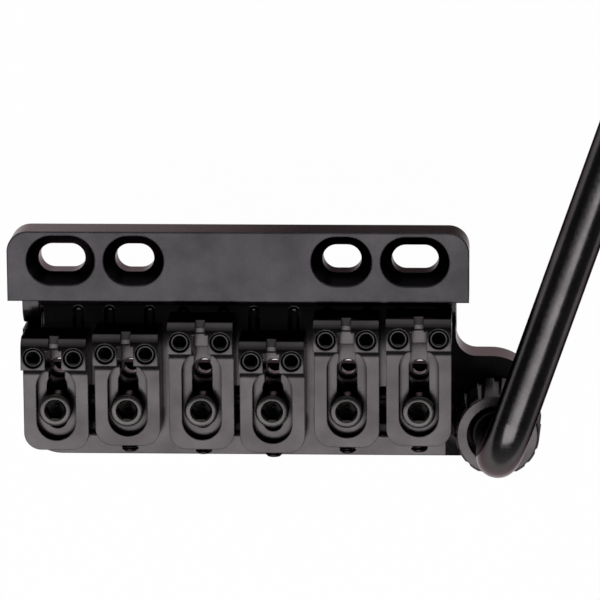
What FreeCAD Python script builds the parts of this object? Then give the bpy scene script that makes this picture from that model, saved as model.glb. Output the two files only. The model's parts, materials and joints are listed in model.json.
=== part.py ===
import FreeCAD, Part
import math
import os
import re

import Sketcher
from FreeCAD import Placement, Rotation, Vector

# Guitar tremolo bridge, in millimetres.
# X runs from the bass side to the treble side, Y towards the neck and Z up from the guitar's top.
# The origin is the middle of the line of mounting slots, on the bar's underside.

SIZES = {
    # Clearances
    "press_gap": 0.01,
    "running_gap": 0.04,
    "thread_gap": 0.05,
    "side_gap": 0.3,
    "swing_gap": 0.4,
    # Mounting bar
    "bar_end_wall": 1.9,
    "bar_lip": 0.575,
    "bar_lap": 0.9,
    "bar_height": 6.0,
    "bar_corner": 3.0,
    "slot_width": 4.15,
    "slot_wall": 2.8,
    "slot_land": 1.15,
    "outer_slot_length": 6.8,
    "inner_slot_length": 5.65,
    "sink_depth": 2.4,
    "sink_flare": 1.6,
    # Pivot shaft, bushes and frame
    "pivot_back": 6.9,
    "pivot_height": 0.6,
    "shaft_radius": 2.0,
    "bush_wall": 0.6,
    "bush_length": 8.0,
    "barrel_wall": 0.75,
    "flange_lip": 0.5,
    "flange_thickness": 0.25,
    "cheek_thickness": 2.4,
    "lobe_wall": 1.3,
    "frame_screw_radius": 1.2,
    "frame_screw_wall": 0.4,
    "frame_screw_height": 2.2,
    "frame_screw_grip": 1.8,
    "shelf_cover": 1.0,
    "shelf_over": 1.15,
    "shelf_drop": 2.5,
    "shelf_thickness": 2.0,
    # Carriage base
    "base_margin": 0.55,
    "rear_wall": 2.97,
    "base_top": 4.0,
    "base_thickness": 6.0,
    "base_corner": 5.5,
    "ear_lead": 9.51,
    "ear_reach": 6.0,
    "ear_round": 7.0,
    "ear_fillet": 3.0,
    "groove_radius": 0.9,
    "groove_depth": 0.6,
    "groove_lead": 1.0,
    "groove_over": 2.7,
    "clamp_lead": 4.7,
    "string_hole_radius": 1.1,
    "string_mouth_radius": 1.6,
    "string_mouth_depth": 2.0,
    "ball_seat_radius": 2.3,
    "ball_seat_depth": 2.2,
    # Saddles, which stand side by side with gaps between them
    "saddle_width": 9.4,
    "middle_gap": 0.82,
    "inner_gap": 1.35,
    "outer_gap": 0.99,
    "saddle_clear": 1.09,
    "pad_rise": 8.4,
    "pad_fall": 0.4,
    "tail_rise": 5.4,
    "head_depth": 4.6,
    "crest_radius": 1.8,
    "neck_fillet": 0.7,
    "short_tail": 12.5,
    "long_tail": 14.75,
    "tail_round": 2.5,
    "foot_length": 4.5,
    "foot_rise": 0.9,
    "ledge_rise": 3.6,
    "tail_wall": 1.4,
    "pocket_front": 0.35,
    "pocket_gap": 0.43,
    "slot_gap": 0.2,
    "gap_wall": 0.28,
    "gap_depth": 2.7,
    "step_rise": 3.0,
    "notch_width": 1.4,
    "notch_depth": 1.3,
    "notch_fall": 1.3,
    # How far along each saddle's slot its clamp screw stands, as a share
    "clamp_share_1": 0.614,
    "clamp_share_2": 0.754,
    "clamp_share_3": 0.763,
    "clamp_share_4": 0.564,
    "clamp_share_5": 0.823,
    "clamp_share_6": 0.856,
    # Screws of the saddles
    "height_screw_radius": 1.4,
    "height_screw_inset": 1.8,
    "height_screw_place": 1.7,
    "height_screw_sunk": 0.4,
    "height_socket": 1.5,
    "point_gap": 0.4,
    "clamp_head_radius": 2.42,
    "clamp_head_height": 3.0,
    "clamp_shank_radius": 1.25,
    "clamp_socket": 2.6,
    "tune_screw_radius": 1.25,
    "tune_screw_rise": 1.8,
    "tune_screw_gap": 1.2,
    "tune_socket": 1.3,
    "tune_reach_1": 0.2,
    "tune_reach_2": 1.6,
    "tune_reach_3": 1.4,
    "tune_reach_4": 1.3,
    "tune_reach_5": 1.6,
    "tune_reach_6": 1.6,
    "socket_depth": 1.5,
    # Tension bolts and springs
    "bolt_wall": 0.27,
    "bolt_radius": 2.0,
    "bolt_head_lip": 1.4,
    "bolt_head_height": 4.0,
    "bolt_head_sunk": 0.4,
    "bolt_socket": 3.0,
    "bolt_length": 27.0,
    "counterbore_gap": 0.15,
    "counterbore_chamfer": 0.25,
    "bolt_slot_run": 0.75,
    "spring_clear": 0.65,
    "spring_wire": 1.1,
    "spring_length": 10.5,
    "spring_turns": 5.0,
    "cup_lip": 0.45,
    "cup_height": 1.8,
    "spring_nut_wall": 1.5,
    "spring_nut_height": 3.2,
    # Arm holder and arm
    "collar_gap": 0.3,
    "holder_inset": 5.43,
    "arm_bush_wall": 0.55,
    "arm_bush_proud": 0.8,
    "stem_wall": 0.85,
    "neck_step": 0.6,
    "socket_neck_height": 8.2,
    "socket_floor": 1.2,
    "socket_below": 4.0,
    "socket_nut_wall": 0.85,
    "socket_nut_height": 2.6,
    "collar_wall": 1.35,
    "collar_taper": 0.35,
    "collar_chamfer": 0.3,
    "collar_lip": 1.3,
    "collar_hole_gap": 0.8,
    "flute_count": 16,
    "flute_radius": 0.6,
    "flute_depth": 0.2,
    "arm_radius": 3.0,
    "arm_seat": 0.3,
    "arm_rise": 27.7,
    "arm_bend": 7.0,
    "arm_run": 125.0,
    "arm_angle": 19.1,
    "arm_end_round": 2.6,
}

STRINGS = range(1, 7)
LONG_TAILS = (3, 5, 6)

# Measures that follow from the sizes
FOLLOWS = {
    # Widths, from the row of saddles outwards
    "string_inner": "(saddle_width + middle_gap) / 2",
    "string_middle": "string_inner + saddle_width + inner_gap",
    "string_outer": "string_middle + saddle_width + outer_gap",
    "base_half": "string_outer + saddle_width / 2 + base_margin",
    "cheek_inner": "base_half - cheek_thickness",
    "barrel_half": "cheek_inner - side_gap",
    "bar_half": "base_half + bar_end_wall",
    "outer_slot": "bar_half - slot_wall - sink_flare - outer_slot_length / 2",
    "inner_slot": "outer_slot - slot_land - 2 * sink_flare - (outer_slot_length + inner_slot_length) / 2",
    "bolt_spacing": "(string_outer + string_middle) / 2",
    "holder_place": "string_outer + saddle_width / 2 + collar_gap + collar_radius",
    "ear_edge": "holder_place + ear_reach",
    # Depths, from the pivot backwards
    "bar_front": "slot_width / 2 + sink_flare + bar_lip",
    "bar_rear": "pivot_back - bar_lap",
    "frame_screw_back": "pivot_back - shaft_radius - frame_screw_radius",
    "cheek_front": "frame_screw_back - frame_screw_radius - frame_screw_wall",
    "notch_back": "pivot_back + lobe_radius + swing_gap",
    "clamp_back": "bar_rear + saddle_clear + head_depth + clamp_reach_6",
    "string_hole_back": "clamp_back - clamp_lead",
    "bolt_apart": "counterbore + counterbore_chamfer + bolt_wall + clamp_shank_radius + press_gap",
    "bolt_back": "clamp_back + sqrt(max(0; bolt_apart ^ 2 - string_inner ^ 2))",
    "base_rear": "bolt_back + counterbore + rear_wall",
    "holder_back": "base_rear - holder_inset",
    "ear_front": "holder_back - ear_lead",
    "shelf_front": "string_hole_back + shelf_cover",
    "shelf_rear": "bolt_back + cup_radius + shelf_over",
    "groove_front": "pivot_back + groove_lead",
    "groove_length": "saddle_set_4 - height_screw_place - groove_front + groove_over",
    # Heights
    "cheek_top": "pivot_height + lobe_radius",
    "base_middle": "base_top - base_thickness / 2",
    "shelf_top": "base_top - base_thickness - shelf_drop",
    "shelf_bottom": "shelf_top - shelf_thickness",
    "cup_top": "shelf_bottom - spring_length",
    "bolt_seat": "base_top - bolt_head_sunk - bolt_head_height",
    "collar_height": "socket_neck_height + thread_gap - side_gap / 2 + collar_lip",
    # Radii and widths of pieces that fit each other
    "bush_radius": "shaft_radius + bush_wall",
    "barrel_radius": "bush_radius + barrel_wall",
    "flange_radius": "bush_radius + flange_lip",
    "lobe_radius": "shaft_radius + lobe_wall",
    "height_screw_spread": "saddle_width - 2 * height_screw_inset",
    "height_screw_point": "groove_radius - point_gap",
    "string_gap": "height_screw_spread - 2 * (height_screw_radius + thread_gap + gap_wall)",
    "pocket_width": "2 * (clamp_head_radius + pocket_gap)",
    "clamp_slot_width": "2 * (clamp_shank_radius + slot_gap)",
    "bolt_head_radius": "bolt_radius + bolt_head_lip",
    "counterbore": "bolt_head_radius + counterbore_gap",
    "spring_radius": "bolt_radius + spring_clear + spring_wire / 2",
    "cup_radius": "spring_radius + spring_wire / 2 + cup_lip",
    "spring_nut_width": "2 * (bolt_radius + spring_nut_wall)",
    "arm_bush_radius": "arm_radius + arm_bush_wall",
    "socket_stem_radius": "arm_bush_radius + stem_wall",
    "socket_neck_radius": "socket_stem_radius + neck_step",
    "socket_nut_width": "2 * (socket_stem_radius + socket_nut_wall)",
    "collar_radius": "socket_neck_radius + collar_wall",
    "collar_neck": "collar_radius - collar_taper",
    "collar_hole_radius": "arm_bush_radius + collar_hole_gap",
}
for string in STRINGS:
    FOLLOWS[f"tail_{string}"] = "long_tail" if string in LONG_TAILS else "short_tail"
    FOLLOWS[f"slot_run_{string}"] = f"tail_{string} - tail_wall - pocket_width - pocket_front"
    FOLLOWS[f"clamp_reach_{string}"] = (
        f"pocket_front + pocket_width / 2 + slot_run_{string} * clamp_share_{string}"
    )
    FOLLOWS[f"saddle_set_{string}"] = f"clamp_back - clamp_reach_{string}"

doc = FreeCAD.newDocument("tremolo_bridge")
sheet = doc.addObject("Spreadsheet::Sheet", "Sizes")
for row, (alias, amount) in enumerate(SIZES.items(), 1):
    sheet.set(f"A{row}", alias)
    sheet.set(f"B{row}", str(amount))
    sheet.setAlias(f"B{row}", alias)
doc.recompute()


# Expressions on the sheet

def link(text):
    """Points each size's name in an expression at its cell, and spells out what follows from sizes."""
    def spell(name):
        word = name[0]
        if word in FOLLOWS:
            return f"({link(FOLLOWS[word])})"
        return f"Sizes.{word}" if word in SIZES else word

    return re.sub(r"[a-z_]\w*", spell, text)


def number(text):
    """What an expression on the sizes comes to."""
    return float(sheet.evalExpression(link(text)))


def bind(thing, **links):
    """Ties properties to expressions. Two underscores stand for a dot in a property's path."""
    for name, text in links.items():
        thing.setExpression(name.replace("__", "."), link(text))


# Sketches

def new_body(label):
    body = doc.addObject("PartDesign::Body", label)
    body.Label = label
    body.AllowCompound = True
    return body


def origin_feature(body, role):
    return next(feature for feature in body.Origin.OriginFeatures if feature.Role == role)


def sketch_on(body, role, offset="0", across="0"):
    """A sketch on one of the body's own planes, moved along its normal and across."""
    sketch = body.newObject("Sketcher::SketchObject", f"{body.Label}_sketch")
    sketch.AttachmentSupport = [(origin_feature(body, role), "")]
    sketch.MapMode = "FlatFace"
    bind(sketch, AttachmentOffset__Base__x=across, AttachmentOffset__Base__z=offset)
    return sketch


def spot(x, y):
    return Vector(number(x), number(y), 0)


def fix(sketch, kind, *where, text):
    """A dimension tied to an expression."""
    row = sketch.addConstraint(Sketcher.Constraint(kind, *where, number(text)))
    sketch.setExpression(f"Constraints[{row}]", link(text))


def fix_point(sketch, geometry, which, x, y):
    fix(sketch, "DistanceX", -1, 1, geometry, which, text=x)
    fix(sketch, "DistanceY", -1, 1, geometry, which, text=y)


def join(sketch, one, one_end, other, other_end):
    sketch.addConstraint(Sketcher.Constraint("Coincident", one, one_end, other, other_end))


def polygon(sketch, corners):
    """A closed outline of straight lines."""
    spots = [spot(*corner) for corner in corners]
    lines = [
        sketch.addGeometry(Part.LineSegment(here, there), False)
        for here, there in zip(spots, spots[1:] + spots[:1])
    ]
    for line, before, corner in zip(lines, lines[-1:] + lines[:-1], corners):
        join(sketch, before, 2, line, 1)
        fix_point(sketch, line, 1, *corner)


def rectangle(sketch, left, low, right, high):
    polygon(sketch, [(left, low), (right, low), (right, high), (left, high)])


def circle(sketch, x, y, radius):
    ring = sketch.addGeometry(Part.Circle(spot(x, y), Vector(0, 0, 1), number(radius)), False)
    fix_point(sketch, ring, 3, x, y)
    fix(sketch, "Radius", ring, text=radius)


def half_circle(sketch, x, y, radius, start):
    """Half a circle, counter-clockwise from a start angle in degrees."""
    full = Part.Circle(spot(x, y), Vector(0, 0, 1), number(radius))
    first = math.radians(start)
    return sketch.addGeometry(Part.ArcOfCircle(full, first, first + math.pi), False)


def obround(sketch, x, y, radius, run, along="X"):
    """A slot with round ends whose centres lie a run to either side of its middle."""
    if along == "X":
        ends = [(f"{x} + {run}", y), (f"{x} - ({run})", y)]
        sides = [(f"{x} - ({run})", f"{y} - ({radius})"), (f"{x} + {run}", f"{y} - ({radius})")]
        sides += [(f"{x} + {run}", f"{y} + {radius}"), (f"{x} - ({run})", f"{y} + {radius}")]
        start = -90
    else:
        ends = [(x, f"{y} + {run}"), (x, f"{y} - ({run})")]
        sides = [(f"{x} + {radius}", f"{y} - ({run})"), (f"{x} + {radius}", f"{y} + {run}")]
        sides += [(f"{x} - ({radius})", f"{y} + {run}"), (f"{x} - ({radius})", f"{y} - ({run})")]
        start = 0
    near = sketch.addGeometry(Part.LineSegment(spot(*sides[0]), spot(*sides[1])), False)
    cap = half_circle(sketch, *ends[0], radius, start)
    far = sketch.addGeometry(Part.LineSegment(spot(*sides[2]), spot(*sides[3])), False)
    tail = half_circle(sketch, *ends[1], radius, start + 180)
    for one, other in ((near, cap), (cap, far), (far, tail), (tail, near)):
        join(sketch, one, 2, other, 1)
    for line, first, last in ((near, sides[0], sides[1]), (far, sides[2], sides[3])):
        fix_point(sketch, line, 1, *first)
        fix_point(sketch, line, 2, *last)
    for arc, middle in ((cap, ends[0]), (tail, ends[1])):
        kind, text = ("DistanceX", middle[0]) if along == "X" else ("DistanceY", middle[1])
        fix(sketch, kind, -1, 1, arc, 3, text=text)


def hexagon(sketch, x, y, across, first=0):
    """A hexagon by its width across flats, its first corner at an angle in degrees."""
    corners = []
    for turn in range(6):
        angle = math.radians(first + 60 * turn)
        reach = [f"{math.cos(angle) / math.sqrt(3):.6f}", f"{math.sin(angle) / math.sqrt(3):.6f}"]
        corners.append((f"{x} + ({across}) * ({reach[0]})", f"{y} + ({across}) * ({reach[1]})"))
    polygon(sketch, corners)


# Features

def pad(body, sketch, length, symmetric=False, reverse=False):
    feature = body.newObject("PartDesign::Pad", f"{body.Label}_pad")
    feature.Profile = sketch
    feature.SideType = "Symmetric" if symmetric else "One side"
    feature.Reversed = reverse
    bind(feature, Length=length)
    doc.recompute()
    return feature


def pocket(body, sketch, length=None, symmetric=False, reverse=False, taper=None):
    """Cuts a sketch into the body, right through if it has no length, and checks that it cut."""
    before = body.Shape.Volume
    feature = body.newObject("PartDesign::Pocket", f"{body.Label}_pocket")
    feature.Profile = sketch
    feature.SideType = "Symmetric" if symmetric else "One side"
    feature.Reversed = reverse
    if length is None:
        feature.Type = "ThroughAll"
    else:
        bind(feature, Length=length)
    if taper is not None:
        bind(feature, TaperAngle=taper)
    doc.recompute()
    if body.Shape.Volume > before - 1e-6:
        raise ValueError(f"a pocket of {body.Label} cuts nothing")
    return feature


def revolve(body, sketch):
    """Turns a half profile about the sketch's vertical axis."""
    feature = body.newObject("PartDesign::Revolution", f"{body.Label}_turned")
    feature.Profile = sketch
    feature.ReferenceAxis = (sketch, ["V_Axis"])
    feature.Angle = 360
    doc.recompute()
    return feature


def edge_at(shape, x, y, z):
    """The name of the edge whose middle lies nearest a place."""
    place = Vector(number(x), number(y), number(z))

    def miss(edge):
        return edge.valueAt((edge.FirstParameter + edge.LastParameter) / 2).distanceToPoint(place)

    nearest = min(range(len(shape.Edges)), key=lambda k: miss(shape.Edges[k]))
    return f"Edge{nearest + 1}"


def dress(body, kind, places, **sizes):
    """Rounds or chamfers the edges whose middles lie at the given places, in the body's own frame."""
    base = body.Tip
    edges = [edge_at(base.Shape, *place) for place in places]
    feature = body.newObject(f"PartDesign::{kind}", f"{body.Label}_{kind.lower()}")
    feature.Base = (base, edges)
    bind(feature, **sizes)
    doc.recompute()
    if not feature.isValid():
        raise ValueError(f"a {kind.lower()} of {body.Label} can't be made")
    return feature


def fillet(body, places, radius):
    return dress(body, "Fillet", places, Radius=radius)


def mirror(body, features, role="YZ_Plane"):
    pattern = body.newObject("PartDesign::Mirrored", f"{body.Label}_mirrored")
    pattern.Originals = features
    pattern.MirrorPlane = (origin_feature(body, role), [""])
    body.Tip = pattern
    doc.recompute()
    return pattern


def row_of(body, features, spacing, count):
    """Repeats features along X, the first one where it was made."""
    pattern = body.newObject("PartDesign::LinearPattern", f"{body.Label}_row")
    pattern.Originals = features
    pattern.Direction = (origin_feature(body, "X_Axis"), [""])
    pattern.Occurrences = count
    bind(pattern, Length=f"({spacing}) * {count - 1}")
    body.Tip = pattern
    doc.recompute()
    return pattern


def place(body, x="0", y="0", z="0"):
    bind(body, Placement__Base__x=x, Placement__Base__y=y, Placement__Base__z=z)


def string_place(string):
    """Where a string runs, counted from the bass side."""
    names = ("string_outer", "string_middle", "string_inner")
    return f"-{names[string - 1]}" if string <= 3 else names[6 - string]


BOLT_PLACES = ("-bolt_spacing", "0", "bolt_spacing")


# Mounting bar

def make_mounting_bar():
    bar = new_body("mounting_bar")
    outline = sketch_on(bar, "XY_Plane")
    rectangle(outline, "-bar_half", "-bar_rear", "bar_half", "bar_front")
    pad(bar, outline, "bar_height")
    corners = [(f"{side} * bar_half", "bar_front", "bar_height / 2") for side in (-1, 1)]
    fillet(bar, corners, "bar_corner")

    cove = sketch_on(bar, "YZ_Plane")
    circle(cove, "-pivot_back", "pivot_height", "barrel_radius + swing_gap")
    pocket(bar, cove, "2 * cheek_inner", symmetric=True)

    seats = sketch_on(bar, "XY_Plane")
    for side in (-1, 1):
        edges = [f"{side} * (cheek_inner - press_gap)", f"{side} * (base_half + press_gap)"]
        rectangle(seats, min(edges, key=number), "-bar_rear - bar_front",
                  max(edges, key=number), "press_gap - cheek_front")
    pocket(bar, seats, "cheek_top + press_gap", reverse=True)

    slots = (("outer_slot", "outer_slot_length"), ("inner_slot", "inner_slot_length"))
    for flare, depth in (("sink_flare", "sink_depth"), ("0", None)):
        openings = sketch_on(bar, "XY_Plane", "bar_height")
        for middle, length in slots:
            for side in (-1, 1):
                obround(openings, f"{side} * {middle}", "0", f"(slot_width / 2 + {flare})",
                        f"({length} - slot_width) / 2")
        taper = f"-atan({flare} / {depth})" if depth else None
        pocket(bar, openings, depth, taper=taper)

    hole = sketch_on(bar, "YZ_Plane", "bar_half")
    circle(hole, "-frame_screw_back", "frame_screw_height", "frame_screw_radius + press_gap")
    mirror(bar, [pocket(bar, hole, "bar_end_wall")])
    return bar


# Pivot frame: two cheeks for the shaft, and a shelf that the springs push up on

def make_pivot_frame():
    frame = new_body("pivot_frame")
    side = sketch_on(frame, "YZ_Plane")
    lobe_rear = "-(pivot_back + lobe_radius)"
    under_base = "base_top - base_thickness - side_gap * 2"
    polygon(side, [
        ("-cheek_front", "cheek_top"),
        ("-pivot_back", "cheek_top"),
        (lobe_rear, "pivot_height"),
        (lobe_rear, under_base),
        (f"{lobe_rear} - shelf_drop", "shelf_top"),
        ("-shelf_rear", "shelf_top"),
        ("-shelf_rear", "shelf_bottom"),
        ("-pivot_back", "shelf_bottom"),
        ("-cheek_front", "0"),
    ])
    pad(frame, side, "2 * base_half", symmetric=True)
    lobe = sketch_on(frame, "YZ_Plane")
    circle(lobe, "-pivot_back", "pivot_height", "lobe_radius")
    pad(frame, lobe, "2 * base_half", symmetric=True)

    inside = sketch_on(frame, "XY_Plane", "shelf_top")
    rectangle(inside, "-cheek_inner", "-shelf_rear * 2", "cheek_inner", "bar_front")
    pocket(frame, inside, reverse=True)
    window = sketch_on(frame, "XY_Plane", "shelf_top")
    rectangle(window, "-cheek_inner", "-shelf_front", "cheek_inner", "bar_front")
    pocket(frame, window)

    bores = sketch_on(frame, "YZ_Plane")
    circle(bores, "-pivot_back", "pivot_height", "shaft_radius + press_gap")
    circle(bores, "-frame_screw_back", "frame_screw_height", "frame_screw_radius + press_gap")
    pocket(frame, bores, "2 * base_half + side_gap", symmetric=True)

    slots = sketch_on(frame, "XY_Plane", "shelf_top")
    for x in BOLT_PLACES:
        obround(slots, x, "-bolt_back", "(bolt_radius + side_gap)", "bolt_slot_run", along="Y")
    pocket(frame, slots)
    shelf_middle = "(shelf_top + shelf_bottom) / 2"
    fillet(frame, [(f"{side} * base_half", "-shelf_rear", shelf_middle) for side in (-1, 1)], "base_corner")
    return frame


def make_frame_screws():
    """Headless screws through the bar's ends into the cheeks."""
    screws = new_body("frame_screws")
    end = sketch_on(screws, "YZ_Plane", "bar_half - press_gap")
    circle(end, "-frame_screw_back", "frame_screw_height", "frame_screw_radius")
    shank = pad(screws, end, "bar_end_wall + frame_screw_grip", reverse=True)
    key = sketch_on(screws, "YZ_Plane", "bar_half - press_gap")
    hexagon(key, "-frame_screw_back", "frame_screw_height", "tune_socket")
    socket = pocket(screws, key, "socket_depth")
    mirror(screws, [shank, socket])
    return screws


def make_pivot_shaft():
    shaft = doc.addObject("Part::Cylinder", "pivot_shaft")
    shaft.Placement = Placement(Vector(), Rotation(Vector(0, 1, 0), 90))
    bind(shaft, Radius="shaft_radius", Height="2 * base_half")
    place(shaft, "-base_half", "-pivot_back", "pivot_height")
    return shaft


def make_bearing_bushes():
    """Flanged bushes in the barrel's ends, turned about the shaft's axis."""
    bushes = new_body("bearing_bushes")
    profile = sketch_on(bushes, "XZ_Plane")
    inner, outer = "barrel_half - bush_length", "barrel_half"
    bore = "shaft_radius + running_gap"
    polygon(profile, [
        (bore, inner),
        ("bush_radius", inner),
        ("bush_radius", outer),
        ("flange_radius", outer),
        ("flange_radius", f"{outer} + flange_thickness"),
        (bore, f"{outer} + flange_thickness"),
    ])
    mirror(bushes, [revolve(bushes, profile)], "XY_Plane")
    bushes.Placement = Placement(Vector(), Rotation(Vector(0, 1, 0), 90))
    place(bushes, "0", "-pivot_back", "pivot_height")
    return bushes


# Carriage base

def make_base_form():
    """The carriage's plate with its barrel, ear and holes, before the grooves."""
    base = new_body("base_form")
    outline = sketch_on(base, "XY_Plane", "base_top")
    polygon(outline, [
        ("-base_half", "-base_rear"),
        ("ear_edge", "-base_rear"),
        ("ear_edge", "-ear_front"),
        ("base_half", "-ear_front"),
        ("base_half", "-notch_back"),
        ("barrel_half", "-notch_back"),
        ("barrel_half", "-pivot_back"),
        ("-barrel_half", "-pivot_back"),
        ("-barrel_half", "-notch_back"),
        ("-base_half", "-notch_back"),
    ])
    pad(base, outline, "base_thickness", reverse=True)
    ear_corners = [("ear_edge", y, "base_middle") for y in ("-base_rear", "-ear_front")]
    fillet(base, ear_corners, "min(ear_round; (base_rear - ear_front) / 2 - press_gap)")
    fillet(base, [("base_half", "-ear_front", "base_middle")],
           "min(ear_fillet; ear_front - notch_back - press_gap)")
    fillet(base, [("-base_half", "-base_rear", "base_middle")], "base_corner")

    barrel = sketch_on(base, "YZ_Plane")
    circle(barrel, "-pivot_back", "pivot_height", "barrel_radius")
    pad(base, barrel, "2 * barrel_half", symmetric=True)
    shaft_way = sketch_on(base, "YZ_Plane")
    circle(shaft_way, "-pivot_back", "pivot_height", "shaft_radius + swing_gap")
    pocket(base, shaft_way, symmetric=True)
    seat = sketch_on(base, "YZ_Plane", "barrel_half")
    circle(seat, "-pivot_back", "pivot_height", "bush_radius + press_gap")
    mirror(base, [pocket(base, seat, "bush_length + press_gap")])

    strings = [string_place(string) for string in STRINGS]
    drill(base, strings, "-clamp_back", "clamp_shank_radius + press_gap")
    drill(base, strings, "-string_hole_back", "string_hole_radius")
    drill(base, strings, "-string_hole_back", "string_mouth_radius", "string_mouth_depth")
    drill(base, strings, "-string_hole_back", "ball_seat_radius", "ball_seat_depth", below=True)
    drill(base, BOLT_PLACES, "-bolt_back", "bolt_radius + thread_gap")
    drill(base, BOLT_PLACES, "-bolt_back", "counterbore", "bolt_head_height + bolt_head_sunk")
    rims = [(f"{x} - counterbore", "-bolt_back", "base_top") for x in BOLT_PLACES]
    dress(base, "Chamfer", rims, Size="counterbore_chamfer")

    stem = sketch_on(base, "XY_Plane", "base_top")
    circle(stem, "holder_place", "-holder_back", "socket_stem_radius + press_gap")
    pocket(base, stem)
    return base


def drill(base, places, y, radius, depth=None, below=False):
    """A row of holes across the base."""
    face = "base_top - base_thickness" if below else "base_top"
    holes = sketch_on(base, "XY_Plane", face)
    for x in places:
        circle(holes, x, y, radius)
    pocket(base, holes, depth, reverse=below)


def make_groove_cutters():
    """Ball-ended cutters for the grooves that the height screws stand in."""
    cutters = []
    axis_height = "base_top - groove_depth + groove_radius"
    for string in STRINGS:
        for side in (-1, 1):
            x = f"{string_place(string)} + {side} * height_screw_spread / 2"
            run = doc.addObject("Part::Cylinder", "groove_run")
            run.Placement = Placement(Vector(), Rotation(Vector(1, 0, 0), 90))
            bind(run, Radius="groove_radius", Height="groove_length")
            place(run, x, "-groove_front", axis_height)
            ball = doc.addObject("Part::Sphere", "groove_end")
            bind(ball, Radius="groove_radius")
            place(ball, x, "-groove_front", axis_height)
            cutters += [run, ball]
    tool = doc.addObject("Part::MultiFuse", "grooves")
    tool.Shapes = cutters
    return tool


def make_base_plate():
    plate = doc.addObject("Part::Cut", "base_plate")
    plate.Base = make_base_form()
    plate.Tool = make_groove_cutters()
    return plate


# Saddles and their screws

def make_saddle(string):
    """A saddle in its own frame: Y is 0 at the rear of its pads, Z is 0 on the base."""
    saddle = new_body(f"saddle_{string}")
    tail = f"tail_{string}"
    half_width = "saddle_width / 2"
    side = sketch_on(saddle, "YZ_Plane")
    polygon(side, [
        (f"-{tail}", "0"),
        (f"foot_length - {tail}", "0"),
        (f"foot_length - {tail}", "foot_rise"),
        ("head_depth", "foot_rise"),
        ("head_depth", "pad_rise - pad_fall"),
        ("0", "pad_rise"),
        ("0", "tail_rise"),
        (f"-{tail}", "tail_rise"),
    ])
    pad(saddle, side, "saddle_width", symmetric=True)
    fillet(saddle, [("0", "head_depth", "pad_rise - pad_fall")], "crest_radius")
    fillet(saddle, [("0", "0", "tail_rise")], "neck_fillet")
    rear = [(f"{sign} * {half_width}", f"-{tail}", "tail_rise / 2") for sign in (-1, 1)]
    fillet(saddle, rear, "tail_round")

    rear_end = f"(tail_wall + pocket_width / 2 - {tail})"
    front_end = "(-pocket_front - pocket_width / 2)"
    middle, run = f"({rear_end} + {front_end}) / 2", f"({front_end} - {rear_end}) / 2"
    recess = sketch_on(saddle, "XY_Plane", "tail_rise")
    obround(recess, "0", middle, "pocket_width / 2", run, along="Y")
    pocket(saddle, recess, "tail_rise - ledge_rise")
    slot = sketch_on(saddle, "XY_Plane", "tail_rise")
    obround(slot, "0", middle, "clamp_slot_width / 2", run, along="Y")
    pocket(saddle, slot)
    gap = sketch_on(saddle, "YZ_Plane")
    step = [("0", "-foot_rise"), ("0", "step_rise"), ("gap_depth", "step_rise")]
    polygon(gap, [
        (front_end, "pad_rise * 2"),
        (front_end, "-foot_rise"),
        *(step if string in LONG_TAILS else [("gap_depth", "-foot_rise")]),
        ("gap_depth", "pad_rise * 2"),
    ])
    pocket(saddle, gap, "string_gap", symmetric=True)

    notch = sketch_on(saddle, "YZ_Plane")
    crest = "pad_rise - notch_depth"
    polygon(notch, [
        ("gap_depth - notch_depth / 2", "pad_rise + notch_depth"),
        ("gap_depth - notch_depth / 2", f"{crest} - notch_depth / 2"),
        ("gap_depth + notch_depth / 4", crest),
        ("gap_depth + notch_depth * 3 / 4", crest),
        ("head_depth + notch_depth / 4", f"{crest} - notch_fall"),
        ("head_depth + notch_depth / 4", "pad_rise + notch_depth"),
    ])
    pocket(saddle, notch, "notch_width", symmetric=True)

    holes = sketch_on(saddle, "XY_Plane", "pad_rise")
    for sign in (-1, 1):
        circle(holes, f"{sign} * height_screw_spread / 2", "height_screw_place",
               "height_screw_radius + thread_gap")
    pocket(saddle, holes)
    tune = sketch_on(saddle, "XZ_Plane", tail)
    circle(tune, "0", "tune_screw_rise", "tune_screw_radius + thread_gap")
    pocket(saddle, tune, f"{tail} + {rear_end}")
    place(saddle, string_place(string), f"-saddle_set_{string}", "base_top")
    return saddle


def make_height_screws(string):
    """The two grub screws that a saddle stands on, with their points in the base's grooves."""
    screws = new_body(f"height_screws_{string}")
    screw_top = "pad_rise - height_screw_sunk"
    point_end = "thread_gap * 4 - groove_depth"
    profile = sketch_on(screws, "XZ_Plane")
    polygon(profile, [
        ("0", screw_top),
        ("height_screw_radius", screw_top),
        ("height_screw_radius", "foot_rise"),
        ("height_screw_point", point_end),
        ("0", point_end),
    ])
    shank = revolve(screws, profile)
    key = sketch_on(screws, "XY_Plane", screw_top)
    hexagon(key, "0", "0", "height_socket")
    socket = pocket(screws, key, "socket_depth")
    row_of(screws, [shank, socket], "height_screw_spread", 2)
    place(screws, f"{string_place(string)} - height_screw_spread / 2",
          f"height_screw_place - saddle_set_{string}", "base_top")
    return screws


def make_intonation_screw(string):
    """The screw in a saddle's rear wall, whose inner end stops against the clamp screw."""
    screw = new_body(f"intonation_screw_{string}")
    tail, reach = f"tail_{string}", f"tune_reach_{string}"
    inner_end = f"clamp_reach_{string} + clamp_shank_radius + tune_screw_gap"
    end = sketch_on(screw, "XZ_Plane", f"{tail} + {reach}")
    circle(end, "0", "tune_screw_rise", "tune_screw_radius")
    pad(screw, end, f"{tail} + {reach} - ({inner_end})", reverse=True)
    key = sketch_on(screw, "XZ_Plane", f"{tail} + {reach}")
    hexagon(key, "0", "tune_screw_rise", "tune_socket")
    pocket(screw, key, "socket_depth")
    place(screw, string_place(string), f"-saddle_set_{string}", "base_top")
    return screw


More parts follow.
